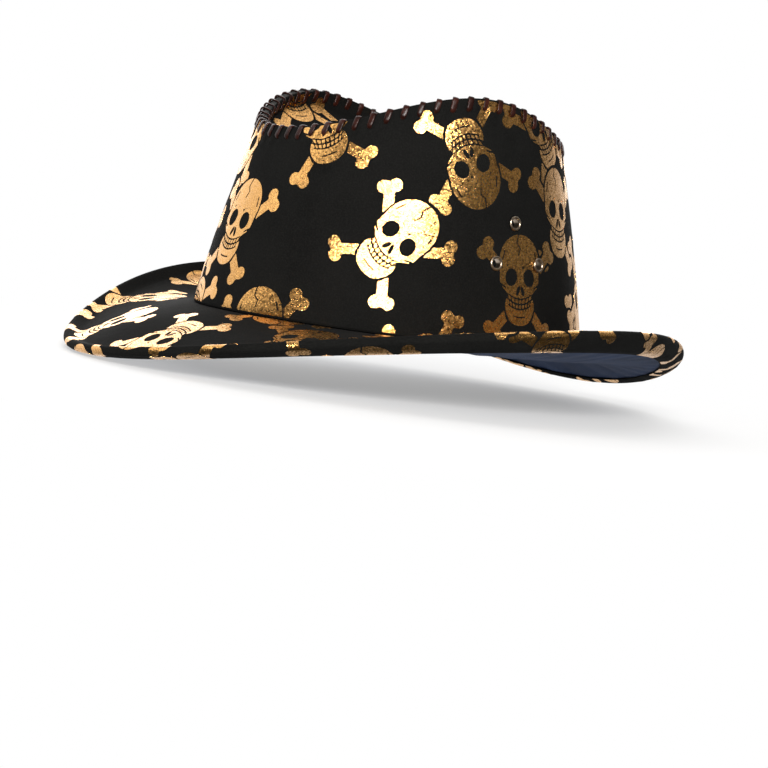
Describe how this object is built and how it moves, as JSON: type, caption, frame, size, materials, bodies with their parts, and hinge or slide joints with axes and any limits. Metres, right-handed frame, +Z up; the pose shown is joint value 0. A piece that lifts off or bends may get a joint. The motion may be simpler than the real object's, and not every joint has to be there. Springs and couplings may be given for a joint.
{
  "type": "pirate hat",
  "caption": "Wide-brimmed black cloth costume hat: tapered crown with a sunk tip laced round its top edge, side eyelets, and a foam-cored brim with a wired, turned-up edge.",
  "frame": {"origin": "centre of the head opening, level with the seam of crown and brim", "axes": "+Z up through the crown, -Y towards the front of the hat, +X towards the wearer's left"},
  "size_m": [0.2979, 0.318, 0.1437],
  "materials": {
    "printed_black_cloth": "matt black brushed cloth",
    "gold_foil": "glittering gold foil print on the cloth",
    "fleece_interlining": "pressed non-woven stiffener",
    "brown_lace": "glossy dark brown flat lace",
    "eyelet_brass": "polished, slightly aged",
    "brim_foam": "soft closed-cell foam sheet",
    "navy_lining": "brushed navy lining cloth",
    "spring_steel": "plain wire",
    "black_tape": "woven twill tape",
    "black_thread": "polyester sewing thread"
  },
  "bodies": {
    "root": {"crown_side_cover": "printed_black_cloth", "crown_side_interlining": "fleece_interlining", "crown_tip_cover": "printed_black_cloth", "crown_tip_interlining": "fleece_interlining", "crown_lace": "brown_lace", "eyelet_left_front": "eyelet_brass", "eyelet_right_front": "eyelet_brass", "eyelet_left_top": "eyelet_brass", "eyelet_right_top": "eyelet_brass", "eyelet_left_back": "eyelet_brass", "eyelet_right_back": "eyelet_brass", "brim_cover": "printed_black_cloth", "brim_foam": "brim_foam", "brim_lining": "navy_lining", "brim_wire": "spring_steel", "wire_sleeve": "spring_steel", "sweatband": "black_tape", "sweatband_joint_tape": "black_tape", "seam_thread": "black_thread"}
  },
  "joints": []
}
